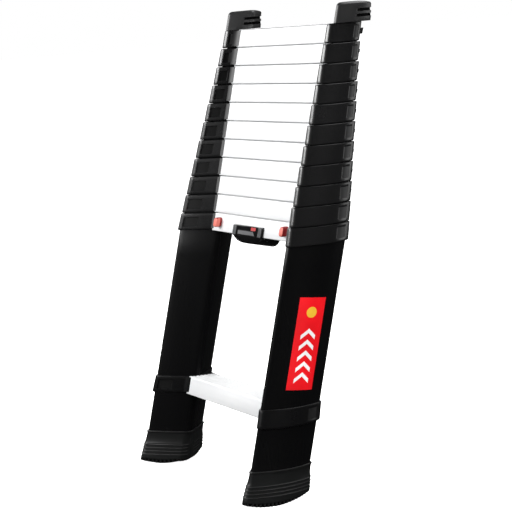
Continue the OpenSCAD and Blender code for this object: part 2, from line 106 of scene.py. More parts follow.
def triangle(corners, r, places):
    """Points of a rounded triangle with bulged sides; r may vary by place."""
    stretch, share = places
    r = np.broadcast_to(np.asarray(r, float), share.shape)
    points = np.zeros((len(share), 2))
    angles = [side_angle(corners[i], corners[(i + 1) % 3]) for i in range(3)]
    angles[2] += 2 * math.pi
    for i in range(3):
        a, b = corners[i], corners[(i + 1) % 3]
        bulge = BULGES[i]
        side_r = np.linalg.norm(b - a) / 2 / math.sin(bulge)
        middle = np.array([math.cos(angles[i]), math.sin(angles[i])])
        centre = (a + b) / 2 - side_r * math.cos(bulge) * middle
        on = stretch == 2 * i
        turn = angles[i] - bulge + 2 * bulge * share[on]
        spoke = np.stack([np.cos(turn), np.sin(turn)], -1)
        points[on] = centre + (side_r + r[on])[:, None] * spoke
        start = angles[i] + bulge
        end = angles[(i + 1) % 3] + (2 * math.pi if i == 2 else 0) - BULGES[(i + 1) % 3]
        on = stretch == 2 * i + 1
        turn = start + (end - start) * share[on]
        points[on] = b + r[on][:, None] * np.stack([np.cos(turn), np.sin(turn)], -1)
    return points


def shrink(n):
    """Size of section n's tube against the lowest one."""
    return 1 - (n - 1) * TAPER


def corner(p, n):
    """Where a corner of the lowest tube comes on section n."""
    return CENTROID + shrink(n) * (p - CENTROID) + (n - 1) * DRIFT


def plan(n, grow, places):
    """Level outline of section n's tube, grown outwards."""
    corners = [corner(p, n) for p in (NOSE, BACK, INNER)]
    return triangle(corners, CORNER_R * shrink(n) + np.asarray(grow, float), places)


def collar_plan(n, grow, places):
    """Level outline of section n's collar; its front edge keeps one radius all the way up."""
    nose = NOSE + (COLLAR_NOSE_TOP - NOSE) * (n - 1) / (SECTIONS - 1)
    stretch, share = places
    to_nose = np.select(
        [stretch == OUTER_SIDE, stretch == INNER_SIDE, stretch == NOSE_CORNER], [1 - share, share, 1.0], 0.0)
    r = CORNER_R * shrink(n) + COLLAR_WALL
    corners = (nose, corner(BACK, n), corner(INNER, n))
    return triangle(corners, r + (COLLAR_NOSE_R - r) * to_nose + grow, places)


def inner_x(n):
    """Reach of section n's tube towards the other stile."""
    return corner(INNER, n)[0] - CORNER_R * shrink(n)


def lean_y(z):
    """Where the rungs' front plane stands at height z."""
    return z * math.tan(LEAN) - MIDDLE_Y


def stand(points, z):
    """Plan points of the right stile at height z, which may vary by point."""
    z = np.broadcast_to(np.asarray(z, float), (len(points),))
    return np.stack([points[:, 0] + STILE_X, points[:, 1] + lean_y(z), z], -1)


# ---- meshes ----


def loft(rings, closed=False):
    """Quads between rings of equal length; open ends are closed with a fan to their middle."""
    count = len(rings[0])
    vertices = [p for ring in rings for p in ring]
    faces = []
    pairs = list(range(len(rings) if closed else len(rings) - 1))
    for i in pairs:
        low, high = i * count, (i + 1) % len(rings) * count
        for j in range(count):
            k = (j + 1) % count
            faces.append((low + j, low + k, high + k, high + j))
    if not closed:
        for ring, base, flip in ((rings[0], 0, True), (rings[-1], (len(rings) - 1) * count, False)):
            middle = len(vertices)
            vertices.append(np.mean(ring, axis=0))
            for j in range(count):
                k = (j + 1) % count
                faces.append((base + k, base + j, middle) if flip else (base + j, base + k, middle))
    return vertices, faces


def mirrored(part):
    """The same part for the left stile."""
    vertices, faces = part
    return [np.array([-p[0], p[1], p[2]]) for p in vertices], [tuple(reversed(f)) for f in faces]


def joined(parts):
    """Several parts as one list of vertices and faces."""
    vertices, faces = [], []
    for v, f in parts:
        base = len(vertices)
        vertices += list(v)
        faces += [tuple(i + base for i in face) for face in f]
    return vertices, faces


def both_sides(part):
    """The right stile's part and its mirror image."""
    return joined([part, mirrored(part)])


def make(name, part, material, body, nodes=(), sharp=40, inlays=()):
    """Turns (vertices, faces) into a piece that rides on a body and stands for CAD nodes.

    inlays holds (material, faces) pairs: those faces get that material instead.
    """
    vertices, faces = part
    mesh = bpy.data.meshes.new(name)
    mesh.from_pydata([tuple(float(c) * MM for c in p) for p in vertices], [], faces)
    work = bmesh.new()
    work.from_mesh(mesh)
    bmesh.ops.recalc_face_normals(work, faces=work.faces)
    work.to_mesh(mesh)
    work.free()
    mesh.materials.append(material)
    for index, (inlay, chosen) in enumerate(inlays, start=1):
        mesh.materials.append(inlay)
        for face in chosen:
            mesh.polygons[face].material_index = index
    mesh.shade_smooth()
    mesh.set_sharp_from_angle(angle=math.radians(sharp))
    piece = bpy.data.objects.new(name, mesh)
    bpy.context.scene.collection.objects.link(piece)
    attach(piece, body)
    if nodes:
        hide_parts(*nodes)
    return piece


def bevelled(piece, width, segments=3):
    """Rounds a piece's sharp edges with a modifier."""
    bevel = piece.modifiers.new("soft edges", "BEVEL")
    bevel.width = width * MM
    bevel.segments = segments
    bevel.limit_method = "ANGLE"
    bevel.angle_limit = math.radians(30)
    return piece


def prism(outline, vector):
    """A closed solid from a planar outline swept along a vector."""
    base = [np.array(p, float) for p in outline]
    top = [p + np.array(vector, float) for p in base]
    count = len(base)
    faces = [tuple(range(count))[::-1], tuple(range(count, 2 * count))]
    faces += [(j, (j + 1) % count, count + (j + 1) % count, count + j) for j in range(count)]
    return base + top, faces


def leaning_block(x0, x1, front, rear, low, high):
    """A block whose front and rear follow the lean, at distances behind the rungs' front plane."""
    outline = [
        (x0, lean_y(low) + front, low), (x0, lean_y(low) + rear, low),
        (x0, lean_y(high) + rear, high), (x0, lean_y(high) + front, high),
    ]
    return prism(outline, (x1 - x0, 0, 0))


# ---- materials ----


class Nodes:
    """Small helper that builds a material's node tree."""

    def __init__(self, name):
        self.material = bpy.data.materials.new(name)
        self.material.use_nodes = True
        self.tree = self.material.node_tree
        self.shader = self.tree.nodes["Principled BSDF"]
        self.coordinates = self.add("ShaderNodeTexCoord").outputs["Object"]

    def add(self, kind, **settings):
        node = self.tree.nodes.new(kind)
        for key, value in settings.items():
            setattr(node, key, value)
        return node

    def link(self, a, b):
        self.tree.links.new(a, b)

    def noise(self, scale, stretch=(1, 1, 1), detail=4.0):
        mapping = self.add("ShaderNodeMapping")
        mapping.inputs["Scale"].default_value = stretch
        self.link(self.coordinates, mapping.inputs["Vector"])
        texture = self.add("ShaderNodeTexNoise")
        texture.inputs["Scale"].default_value = scale
        texture.inputs["Detail"].default_value = detail
        self.link(mapping.outputs["Vector"], texture.inputs["Vector"])
        return texture.outputs["Fac"]

    def span(self, source, low, high, from_low=0.3, from_high=0.7):
        mapped = self.add("ShaderNodeMapRange")
        mapped.inputs["From Min"].default_value = from_low
        mapped.inputs["From Max"].default_value = from_high
        mapped.inputs["To Min"].default_value = low
        mapped.inputs["To Max"].default_value = high
        self.link(source, mapped.inputs["Value"])
        return mapped.outputs["Result"]

    def mix(self, factor, a, b):
        mixed = self.add("ShaderNodeMix", data_type="RGBA")
        for socket, value in ((mixed.inputs["A"], a), (mixed.inputs["B"], b)):
            if isinstance(value, tuple):
                socket.default_value = (*value, 1)
            else:
                self.link(value, socket)
        self.link(factor, mixed.inputs["Factor"])
        return mixed.outputs["Result"]

    def edges(self, low=0.52, high=0.6):
        geometry = self.add("ShaderNodeNewGeometry")
        return self.span(geometry.outputs["Pointiness"], 0, 1, low, high)

    def bump(self, height, strength, distance):
        bump = self.add("ShaderNodeBump")
        bump.inputs["Strength"].default_value = strength
        bump.inputs["Distance"].default_value = distance
        self.link(height, bump.inputs["Height"])
        self.link(bump.outputs["Normal"], self.shader.inputs["Normal"])


def black_finish(name, colour, worn, rough, grain, specular=0.3, wear=0.5, streak=(1, 1, 1)):
    """A dark surface: uneven sheen, fine grain, and edges rubbed to a lighter grey, worn."""
    nodes = Nodes(name)
    patches = nodes.noise(9, detail=6)
    rubbed = nodes.add("ShaderNodeMath", operation="MULTIPLY")
    nodes.link(nodes.edges(), rubbed.inputs[0])
    nodes.link(nodes.span(patches, 0.2 * wear, wear), rubbed.inputs[1])
    dusty = nodes.mix(nodes.span(nodes.noise(4, detail=5), 0, 0.35), colour, tuple(c * 1.6 for c in colour))
    nodes.link(nodes.mix(rubbed.outputs[0], dusty, (worn, worn, worn)), nodes.shader.inputs["Base Color"])
    nodes.link(nodes.span(nodes.noise(14, streak, 6), *rough), nodes.shader.inputs["Roughness"])
    nodes.shader.inputs["Specular IOR Level"].default_value = specular
    nodes.bump(nodes.noise(grain, streak, 3), 0.12, 0.0004)
    return nodes.material


def aluminium_finish():
    """Satin extruded aluminium with drawing lines along the rung, and painted shade where it turns edge-on.
    """
    nodes = Nodes("satin_aluminium")
    lines = nodes.noise(420, (0.012, 1, 1), 3)
    tint = nodes.mix(nodes.span(nodes.noise(6), 0, 1), (0.90, 0.905, 0.91), (0.84, 0.85, 0.86))
    # Painted shade: the base colour turns grey where the surface is seen edge-on, which draws the rungs'
    # outlines.
    weight = nodes.add("ShaderNodeLayerWeight")
    edge_on_shade = nodes.span(weight.outputs["Facing"], 0, 1, 0.93, 0.99)
    nodes.link(nodes.mix(edge_on_shade, tint, (0.16, 0.16, 0.165)), nodes.shader.inputs["Base Color"])
    nodes.shader.inputs["Metallic"].default_value = 0.25
    nodes.link(nodes.span(lines, 0.34, 0.5), nodes.shader.inputs["Roughness"])
    nodes.bump(lines, 0.08, 0.0003)
    return nodes.material


def plain_finish(name, colour, rough, metallic=0.0, grain=600, specular=0.5):
    """Moulded or plated surface with slight colour and sheen changes."""
    nodes = Nodes(name)
    darker = tuple(c * 0.8 for c in colour)
    tint = nodes.mix(nodes.span(nodes.noise(20), 0, 1), colour, darker)
    nodes.link(tint, nodes.shader.inputs["Base Color"])
    nodes.link(nodes.span(nodes.noise(35), *rough), nodes.shader.inputs["Roughness"])
    nodes.shader.inputs["Metallic"].default_value = metallic
    nodes.shader.inputs["Specular IOR Level"].default_value = specular
    nodes.bump(nodes.noise(grain), 0.08, 0.0003)
    return nodes.material


TUBE = black_finish("black_tube", (0.0025, 0.0025, 0.0027), 0.02, (0.24, 0.32), 700, 0.08, 0.3, (1, 1, 0.03))
COLLAR = black_finish("black_collar", (0.006, 0.006, 0.0062), 0.05, (0.2, 0.28), 900, 0.5, 0.6)
CLAMP = black_finish("clamp_collar", (0.003, 0.003, 0.0032), 0.04, (0.24, 0.32), 900, 0.25, 0.5)
SHEEN = black_finish("collar_sheen", (0.006, 0.006, 0.0062), 0.05, (0.42, 0.5), 900, 0.5, 0.3)
RUBBER = black_finish("black_rubber", (0.0065, 0.0068, 0.0068), 0.05, (0.3, 0.4), 1100, 0.15, 0.7)
# Lighter rubber for the boots' rib crests: a painted highlight where the ridges would catch light from above.
RIDGE_HIGHLIGHT = black_finish("rubber_ridge_painted_highlight", (0.026, 0.026, 0.026), 0.07, (0.4, 0.5), 1100, 0.5, 0.7)
CAP_RUBBER = black_finish("cap_rubber", (0.014, 0.014, 0.0142), 0.08, (0.32, 0.42), 1100, 0.5, 0.5)
HOUSING = black_finish("black_plastic", (0.003, 0.003, 0.0032), 0.03, (0.1, 0.14), 900, 0.2, 0.5)
# Near-black for the bottoms of the collar windows: painted shade in the recesses.
WINDOW_SHADE = black_finish("collar_window_painted_shade", (0.002, 0.002, 0.002), 0.01, (0.35, 0.45), 900, 0.2, 0.2)
POCKET = black_finish("collar_pocket", (0.005, 0.005, 0.0052), 0.04, (0.32, 0.4), 900, 0.4, 0.3)
# Near-black for the bottoms of the caps' slots and the boots' notches: painted shade in those recesses.
RECESS_SHADE = black_finish("cap_slot", (0.001, 0.001, 0.001), 0.004, (0.6, 0.7), 1100, 0.05, 0.2)
ALUMINIUM = aluminium_finish()
# Two copies of the buttons' one red plastic: a darker red as painted shade and a light salmon as painted
# highlight.
BUTTON_RED_SHADED = plain_finish("red_plastic", (0.3, 0.004, 0.006), (0.4, 0.5), specular=0.4)
BUTTON_RED_LIT = plain_finish("button_red_painted_highlight", (0.88, 0.2, 0.15), (0.45, 0.55), specular=0.6)
TAG = plain_finish("housing_tag_red", (0.62, 0.03, 0.03), (0.4, 0.5), specular=0.5)
LABEL = plain_finish("label_red", (0.85, 0.008, 0.014), (0.38, 0.5), specular=0.1)
LABEL_PRINT = plain_finish("label_print", (0.95, 0.93, 0.93), (0.4, 0.5), specular=0.1)
LABEL_DOT = plain_finish("label_dot", (0.85, 0.5, 0.04), (0.4, 0.5), specular=0.1)
WINDOW = plain_finish("window_plastic", (0.17, 0.17, 0.175), (0.12, 0.2))
POST = plain_finish("housing_posts", (0.09, 0.092, 0.095), (0.2, 0.3), specular=0.7)
STEEL = plain_finish("steel", (0.62, 0.62, 0.64), (0.25, 0.4), metallic=1.0)

# ---- tubes ----

PLAIN = stations()


def build_tubes(n):
    """Section n's tube on both stiles, open at both ends."""
    node = f"section_{n}_tubes"
    low, high = bottom_of(node), top_of(node)
    edge = 0.3
    rows = [(low, -edge), (low + edge, 0)]
    rows += [(low + (high - low) * i / 6, 0) for i in range(1, 6)]
    rows += [(high - edge, 0), (high, -edge), (high, -TUBE_WALL + edge), (high - edge, -TUBE_WALL)]
    rows += [(low + edge, -TUBE_WALL), (low, -TUBE_WALL + edge)]
    rings = [stand(plan(n, grow, PLAIN), z) for z, grow in rows]
    tubes = both_sides(loft(rings, closed=True))
    make(f"stile_tubes_{n}", tubes, TUBE, body_of_section(n), [node])


def body_of_section(n):
    """Name of the body that section n rides on."""
    return "base" if n == 1 else f"section_{n}"


# ---- collars ----

WINDOW_SHARES = (0.55, 0.97)
POCKET_SHARES = (0.73, 0.91)
WALL_SHARE = 0.015
WINDOW_RISE = (0.22, 0.76)
POCKET_RISE = (0.20, 0.80)
DRAFT = (0.05, 0.012)
# stretch, shares of it, rise and depth of the window and of the outer pocket
RECESSES = (
    (INNER_SIDE, WINDOW_SHARES, WINDOW_RISE, 1.6),
    (OUTER_SIDE, POCKET_SHARES, POCKET_RISE, 0.3),
)


def pocket_places():
    """Places round the plan with extra ones at both edges of the window and of the outer pocket."""
    extra = []
    for stretch, (low, high), _, _ in RECESSES:
        extra += [(stretch, s) for s in (low - WALL_SHARE, low, high, high + WALL_SHARE)]
    return stations(extra)


COLLAR_PLACES = pocket_places()


def within(places, stretch, shares):
    """Which places lie between two shares of a stretch."""
    return (places[0] == stretch) & (places[1] > shares[0] - 1e-6) & (places[1] < shares[1] + 1e-6)


def collar_rows(height):
    """(rise, growth) from the rolled lower edge to the lip, with rows at the edges of the recesses."""
    foot_r, lip_r, steps, wall = 2.6, 1.2, 5, 0.5
    rows = []
    for i in range(steps + 1):
        a = math.pi / 2 * i / steps
        rows.append((foot_r * (1 - math.cos(a)), -foot_r * (1 - math.sin(a))))
    levels = set()
    for _, _, (low, high), _ in RECESSES:
        levels |= {low * height - wall, low * height, high * height, high * height + wall}
    rows += [(z, 0.0) for z in sorted(levels)]
    for i in range(steps + 1):
        a = math.pi / 2 * i / steps
        rows.append((height - lip_r * (1 - math.sin(a)), -lip_r * (1 - math.cos(a))))
    return rows


def collar_rings(n, low, high, lip_plan):
    """Outside of a collar from its lower edge to its lip, then down the inside."""
    height = high - low
    face = inner_x(n) - COLLAR_WALL
    middle = corner(INNER, n)[1]
    rings = []
    for rise, growth in collar_rows(height):
        depth = np.zeros(len(COLLAR_PLACES[0]))
        for stretch, shares, (start, end), deep in RECESSES:
            if start * height - 1e-6 <= rise <= end * height + 1e-6:
                depth[within(COLLAR_PLACES, stretch, shares)] = deep
        points = collar_plan(n, growth - depth, COLLAR_PLACES)
        drop = 1 - rise / height
        points[:, 0] = face + (points[:, 0] - face) * (1 + DRAFT[0] * drop)
        points[:, 1] = middle + (points[:, 1] - middle) * (1 + DRAFT[1] * drop)
        rings.append(stand(points, low + rise))
    if lip_plan:
        inside = [(n + 1, 0.65, 0), (n + 1, 0.35, -0.3), (n + 1, 0.35, -LIP), (n, 0.05, -LIP)]
    else:
        inside = [(n, 0.05, 0)]
    rings += [stand(plan(m, grow, COLLAR_PLACES), high + z) for m, grow, z in inside]
    rings.append(stand(plan(n, 0.05, COLLAR_PLACES), low))
    return rings


def recess_faces(height, rings):
    """Face numbers of the bottoms of the windows and of the outer pockets on both stiles."""
    count = len(COLLAR_PLACES[0])
    rows = [rise for rise, _ in collar_rows(height)]
    chosen = []
    for stretch, shares, (start, end), _ in RECESSES:
        inside = within(COLLAR_PLACES, stretch, shares)
        own = []
        for i in range(len(rows) - 1):
            if rows[i] > start * height - 1e-6 and rows[i + 1] < end * height + 1e-6:
                own += [i * count + j for j in range(count) if inside[j] and inside[(j + 1) % count]]
        chosen.append(own + [face + rings * count for face in own])
    return chosen


def side_x(n, y, stretch):
    """Where one inner side of a collar stands, at a distance y behind the rungs' front plane."""
    points = collar_plan(n, 0.0, PLAIN)
    on = (PLAIN[0] == stretch) | (PLAIN[0] == INNER_CORNER)
    middle = corner(INNER, n)[1]
    on &= (points[:, 1] >= middle) if stretch == BACK_SIDE else (points[:, 1] <= middle)
    side = points[on][np.argsort(points[on][:, 1])]
    return float(np.interp(y, side[:, 1], side[:, 0]))


def socket_block(n, low, high, depth):
    """Wedge behind the collar's inner corner that closes the end of the rung."""
    face = inner_x(n) - COLLAR_WALL
    near = corner(INNER, n)[1] + 1
    far = depth + 2.4
    inset = 1.4
    outline = [
        (face, near), (face, far),
        (side_x(n, far, BACK_SIDE) + inset, far), (side_x(n, near + 8, BACK_SIDE) + inset, near + 8),
    ]
    points = [(x + STILE_X, y + lean_y(low), low) for x, y in outline]
    return prism(points, (0, (high - low) * math.tan(LEAN), high - low))


def socket_fillet(n, low, high, radius):
    """Hollow curve that leads the collar's inner side into the front of the rung."""
    steps, sunk, flat_share = 12, 1.5, 0.1
    nose, inner = collar_plan(n, 0.0, (np.array([INNER_SIDE] * 2), np.array([0.9, 0.1])))
    run = inner - nose
    turn = math.atan2(abs(run[1]), abs(run[0]))
    meet = inner - run * inner[1] / run[1]
    reach = radius * math.tan(turn / 2)
    centre = np.array([meet[0] - reach, -radius])
    arc = []
    for i in range(steps + 1):
        a = math.pi / 2 - turn * (flat_share + (1 - flat_share) * i / steps)
        arc.append(centre + radius * np.array([math.cos(a), math.sin(a)]))
    outline = np.array(arc + [arc[-1] + (0, sunk * 3), arc[0] + (0, sunk)])
    face = inner_x(n) - COLLAR_WALL
    rings = []
    for z in (low, high):
        points = outline.copy()
        drop = (high - z) / (high - low)
        points[:, 0] = face + (points[:, 0] - face) * (1 + DRAFT[0] * drop)
        rings.append(stand(points, z))
    return loft(rings)


def back_tab(n, low, high):
    """Small tab on the collar's rear edge; the top collar's is the larger catch."""
    mid = (low + high) / 2
    x = corner(BACK, n)[0] + STILE_X
    rear = corner(BACK, n)[1] + CORNER_R * shrink(n) + COLLAR_WALL
    proud, half = (4.5, 5.0) if n == SECTIONS else (1.2, 3.0)
    return leaning_block(x - 3, x + 4, rear - 2, rear + proud, mid - half, mid + half)


def build_collars(name, node, n, lip_plan, depth):
    """Both collars of one level, the blocks that close the rung's ends, and the hollow curves."""
    low, high = bottom_of(node), top_of(node)
    rings = collar_rings(n, low, high, lip_plan)
    windows, pockets = recess_faces(high - low, len(rings))
    body = body_of_section(n)
    finish = COLLAR if lip_plan else CLAMP
    # The window bottoms take the near-black finish as painted shade.
    make(name, both_sides(loft(rings, closed=True)), finish, body, [node],
         inlays=[(WINDOW_SHADE, windows), (POCKET, pockets)])
    blocks = [socket_block(n, low + 0.6, high - 0.6, depth)]
    if lip_plan:
        blocks.append(back_tab(n, low, high))
    bevelled(make(name + "_sockets", both_sides(joined(blocks)), finish, body), 0.9)
    radius = 16 + 0.6 * n if lip_plan else 34
    fillet = both_sides(socket_fillet(n, low + 2.6, high - 1.2, radius))
    make(name + "_fillets", fillet, SHEEN if lip_plan else finish, body)


# ---- rungs ----


def rounded(points, radii, steps=4):
    """Closed outline with each corner rounded by its own radius."""
    outline = []
    count = len(points)
    for i in range(count):
        p, q, s = (np.array(points[j % count], float) for j in (i - 1, i, i + 1))
        a, b = (p - q) / np.linalg.norm(p - q), (s - q) / np.linalg.norm(s - q)
        angle = math.acos(max(-1.0, min(1.0, float(a @ b))))
        reach = radii[i] / math.tan(angle / 2)
        centre = q + (a + b) / np.linalg.norm(a + b) * radii[i] / math.sin(angle / 2)
        start, end = q + a * reach - centre, q + b * reach - centre
        turn = math.pi - angle
        for t in range(steps + 1):
            share = t / steps
            mixed = start * math.sin((1 - share) * turn) + end * math.sin(share * turn)
            outline.append(centre + mixed / math.sin(turn))
    return outline


def rung_profile(depth):
    """Outline of a rung: distance behind its front plane, and height against its tread."""
    front_r = 2.4
    points = [(0, -RUNG_HEIGHT), (0, 0), (depth, 0), (depth, -11), (depth * 0.55, -RUNG_HEIGHT)]
    outline = rounded(points, [2.0, front_r, 1.6, 3.0, 4.0])
    ribbed = []
    rib_height = 0.9
    start, end = front_r, depth - 1.6
    pitch = (end - start) / TREAD_RIBS
    steps = 8
    for p in outline:
        ribbed.append(p)
        if abs(p[1]) < 1e-6 and abs(p[0] - start) < 1e-6:
            for i in range(1, TREAD_RIBS * steps):
                y = start + pitch * i / steps
                wave = 0.5 + 0.5 * math.cos(2 * math.pi * i / steps)
                ribbed.append(np.array([y, -rib_height * wave ** 2]))
    return ribbed


def rung_rings(k, depth, n, inset=0.7):
    """The rung's outline at stations from the left collar to the right one."""
    top = top_of(f"rung_{k}")
    profile = rung_profile(depth)
    face = inner_x(n) - COLLAR_WALL
    ends = []
    for y, z in profile:
        reach = side_x(n, y, INNER_SIDE) + inset if y < corner(INNER, n)[1] else face + inset
        ends.append(STILE_X + reach)
    rings = []
    for share in (-1, -0.97, -0.5, 0, 0.5, 0.97, 1):
        rings.append([
            np.array([share * x, y + lean_y(top + z), top + z]) for (y, z), x in zip(profile, ends)])
    return rings


def build_rung(k):
    """One rung with its ribbed tread; it ends at the collars' faces."""
    n = max(1, k - 1)
    depth = BOTTOM_TREAD_DEPTH if k == 1 else TREAD_DEPTH
    part = loft(rung_rings(k, depth, n))
    make(f"tread_{k}", part, ALUMINIUM, body_of_section(n), [f"rung_{k}"], sharp=50)


def build_top_shade_line():
    """Thin dark strip under the nose of the top tread, which the eye meets edge-on: painted shade standing
    for the shadow line there.
    """
    high = top_of(f"rung_{RUNGS}")
    reach = STILE_X + inner_x(SECTIONS) - 6
    bar = leaning_block(-reach, reach, -0.25, 0.8, high - 1.2, high - 0.5)
    make("top_tread_painted_shade", bar, SHEEN, body_of_section(SECTIONS))


# ---- feet ----

FOOT_PLACES = stations(fine=3)
FOOT_HEIGHT = 57.0
SOLE_RISE = (4.5, 11.0, 5.0)
SOLE_LAND = (-8.0, 8.0)
SOLE_EDGE_X = -20
SOLE_BLEND = 16
LUG_HEIGHT = 7
LUG_DEPTH = 1.8


def sole_height(points):
    """Height of the domed sole above the floor: it rises to the toe, the heel and the inner corner."""
    x, y = points[:, 0], points[:, 1]
    ends = plan(1, 6.0, FOOT_PLACES)[:, 1]
    ahead = np.clip((SOLE_LAND[0] - y) / (SOLE_LAND[0] - ends.min()), 0, 1)
    behind = np.clip((y - SOLE_LAND[1]) / (ends.max() - SOLE_LAND[1]), 0, 1)
    inward = np.clip((SOLE_EDGE_X - x) / 32, 0, 1)
    toe, heel, side = SOLE_RISE
    return toe * ahead ** 1.6 + heel * behind ** 1.3 + side * inward ** 1.5


def foot_grow(height):
    """How far the boot stands out from the tube at a height: a rim, a neck, then the flare."""
    heights = [0, 2, 10, 15, 33, 42, 50, 53.5, 54.5, 56, 57]
    grows = [5.9, 6.4, 6.3, 5.9, 4.2, 2.4, 1.9, 1.9, 2.7, 2.9, 2.3]
    return float(np.interp(height, heights, grows))


def middle_of_nearest(height, low, pitch):
    """Middle height of the rib nearest a height."""
    return low + pitch * round((height - low) / pitch)


def build_foot(side, name):
    """Rubber boot with ridges, notches round its edge and a domed sole; the ridges' crests take a lighter
    rubber as painted highlight, the notches a near-black as painted shade.
    """
    rib_low, rib_pitch, ribs, rib_half, rib_height = 16.8, 5.7, 4, 1.1, 1.0
    heights = [0, 0.8, 2, 4.5, 5, 6, 7, 9, 12]
    for i in range(ribs):
        middle = rib_low + i * rib_pitch
        heights += [middle + rib_half * t for t in (-1, -0.6, -0.2, 0.2, 0.6, 1)]
    heights += [38, 42, 46, 50, 53.5, 54.2, 55, 56, 56.6, 57]
    count = len(FOOT_PLACES[0])
    stretch, share = FOOT_PLACES
    smooth_corner = ((stretch == INNER_CORNER) & (share < 0.45)) | ((stretch == BACK_SIDE) & (share > 0.9))
    lug = (np.arange(len(share)) % 5 < 3).astype(float)
    rings = []
    highlight_crests, notches = [], []
    flat = plan(1, foot_grow(0) - 0.8, FOOT_PLACES)
    middle = flat.mean(axis=0)
    for scale in (0.04, 0.5, 0.9):
        points = middle + (flat - middle) * scale
        rings.append(stand(points, sole_height(points)))
    for h in heights:
        grow = np.full(len(share), foot_grow(h))
        off = min(abs(h - rib_low - i * rib_pitch) for i in range(ribs)) / rib_half
        if off <= 1:
            grow += np.where(smooth_corner, 0, rib_height * math.cos(math.pi / 2 * off))
        # Rib crests take the lighter rubber as a painted highlight.
        if off <= 0.25 and h < middle_of_nearest(h, rib_low, rib_pitch):
            highlight_crests += [len(rings) * count + j for j in range(count) if not smooth_corner[j]]
        grow -= LUG_DEPTH * lug * max(0.0, min(1.0, (LUG_HEIGHT - h) / 2))
        # Notch faces take the near-black finish as painted shade inside the grooves.
        if h < LUG_HEIGHT - 1:
            notches += [len(rings) * count + j for j in range(count) if lug[j] and lug[(j + 1) % count]]
        points = plan(1, grow, FOOT_PLACES)
        lift = sole_height(points) * max(0.0, 1 - h / SOLE_BLEND)
        rings.append(stand(points, h + lift))
    rings.append(stand(plan(1, 0.05, FOOT_PLACES), FOOT_HEIGHT))
    rings.append(stand(plan(1, 0.05, FOOT_PLACES), FOOT_HEIGHT - 20))
    part = loft(rings)
    make(name, part if side > 0 else mirrored(part), RUBBER, "base", [name_of_foot(side)],
         inlays=[(RIDGE_HIGHLIGHT, highlight_crests), (RECESS_SHADE, notches)])


def name_of_foot(side):
    return "right_foot" if side > 0 else "left_foot"


# ---- top caps ----

CAP_HEIGHT = 34.0
CAP_CORNERS = (np.array([5.9, -4.8]), np.array([3.3, 47.4]), np.array([-20.0, 22.0]))
CAP_R = 7.8
CAP_PLACES = stations(fine=2)
CAP_SLOTS = ((8.0, 12.0), (17.0, 21.0))
SLOT_DEPTH = 4.6
SLOT_START = 0.44


def slot_depths():
    """Depth of a cap's slots round its plan: both sides are cut, the very rear is left whole."""
    stretch, share = CAP_PLACES
    along_outer = np.clip((share - SLOT_START) / 0.12, 0, 1)
    round_back = np.clip(np.maximum(1 - share / 0.3, (share - 0.8) / 0.2), 0, 1)
    along_inner = np.clip(1 - share / 0.3, 0, 1)
    cut = np.select(
        [stretch == OUTER_SIDE, stretch == BACK_CORNER, stretch == BACK_SIDE, stretch == INNER_CORNER,
         stretch == INNER_SIDE],
        [along_outer, round_back, 1.0, 1.0, along_inner], 0.0)
    return SLOT_DEPTH * cut


def dome(points):
    """How far the cap's top falls away from its highest line towards front and rear."""
    crest, rear_drop, front_drop = 14, 5.0, 0.8
    behind = np.clip((points[:, 1] - crest) / 40, 0, 1)
    ahead = np.clip((crest - points[:, 1]) / 28, 0, 1)
    return rear_drop * behind ** 2 + front_drop * ahead ** 2


def build_cap(side, name):
    """Rubber cap with a rounded top, two slots and an upright land at its rear."""
    low = top_of(f"section_{SECTIONS}_collars") + 0.05
    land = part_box(name_of_cap(side))[1].y / MM
    roll, wall, lift, shoulder = 6.0, 0.5, 1.2, 22
    depths = slot_depths()
    count = len(depths)
    levels = {0.0, 0.8, 24.0, CAP_HEIGHT - roll}
    for a, b in CAP_SLOTS:
        levels |= {a - wall, a, b, b + wall}
    rings = []
    dark = []

    def add(points, rise):
        share = max(0.0, (rise - shoulder) / (CAP_HEIGHT - shoulder))
        ring = stand(points, low + rise - dome(points) * share + lift * share ** 2)
        ring[:, 1] = np.minimum(ring[:, 1], land)
        rings.append(ring)

    def level_plan(grow):
        return triangle(CAP_CORNERS, CAP_R + grow, CAP_PLACES)

    add(level_plan(-roll), 0)
    for rise in sorted(levels):
        slotted = any(a - 1e-6 <= rise <= b + 1e-6 for a, b in CAP_SLOTS)
        edge = -0.6 if rise == 0 else 0.0
        # Slot bottoms take the near-black finish as painted shade.
        if any(abs(a - rise) < 1e-6 for a, _ in CAP_SLOTS):
            sunk = [j for j in range(count) if min(depths[j], depths[(j + 1) % count]) > 0.5]
            dark += [len(rings) * count + j for j in sunk]
        add(level_plan(edge - (depths if slotted else 0)), rise)
    for i in range(1, 9):
        a = math.pi / 2 * i / 8
        add(level_plan(-roll * (1 - math.cos(a))), CAP_HEIGHT - roll + (roll - lift) * math.sin(a))
    rim = level_plan(-roll)
    middle = rim.mean(axis=0)
    for scale in (0.6, 0.2):
        add(middle + (rim - middle) * scale, CAP_HEIGHT - lift)
    part = loft(rings)
    make(name, part if side > 0 else mirrored(part), CAP_RUBBER, f"section_{SECTIONS}",
         [name_of_cap(side)], inlays=[(RECESS_SHADE, dark)])


def name_of_cap(side):
    return "right_top_cap" if side > 0 else "left_top_cap"


# ---- release buttons ----


BUTTON_X = 140.0
BUTTON_SIZE = (16.0, 11.2, 16.6)


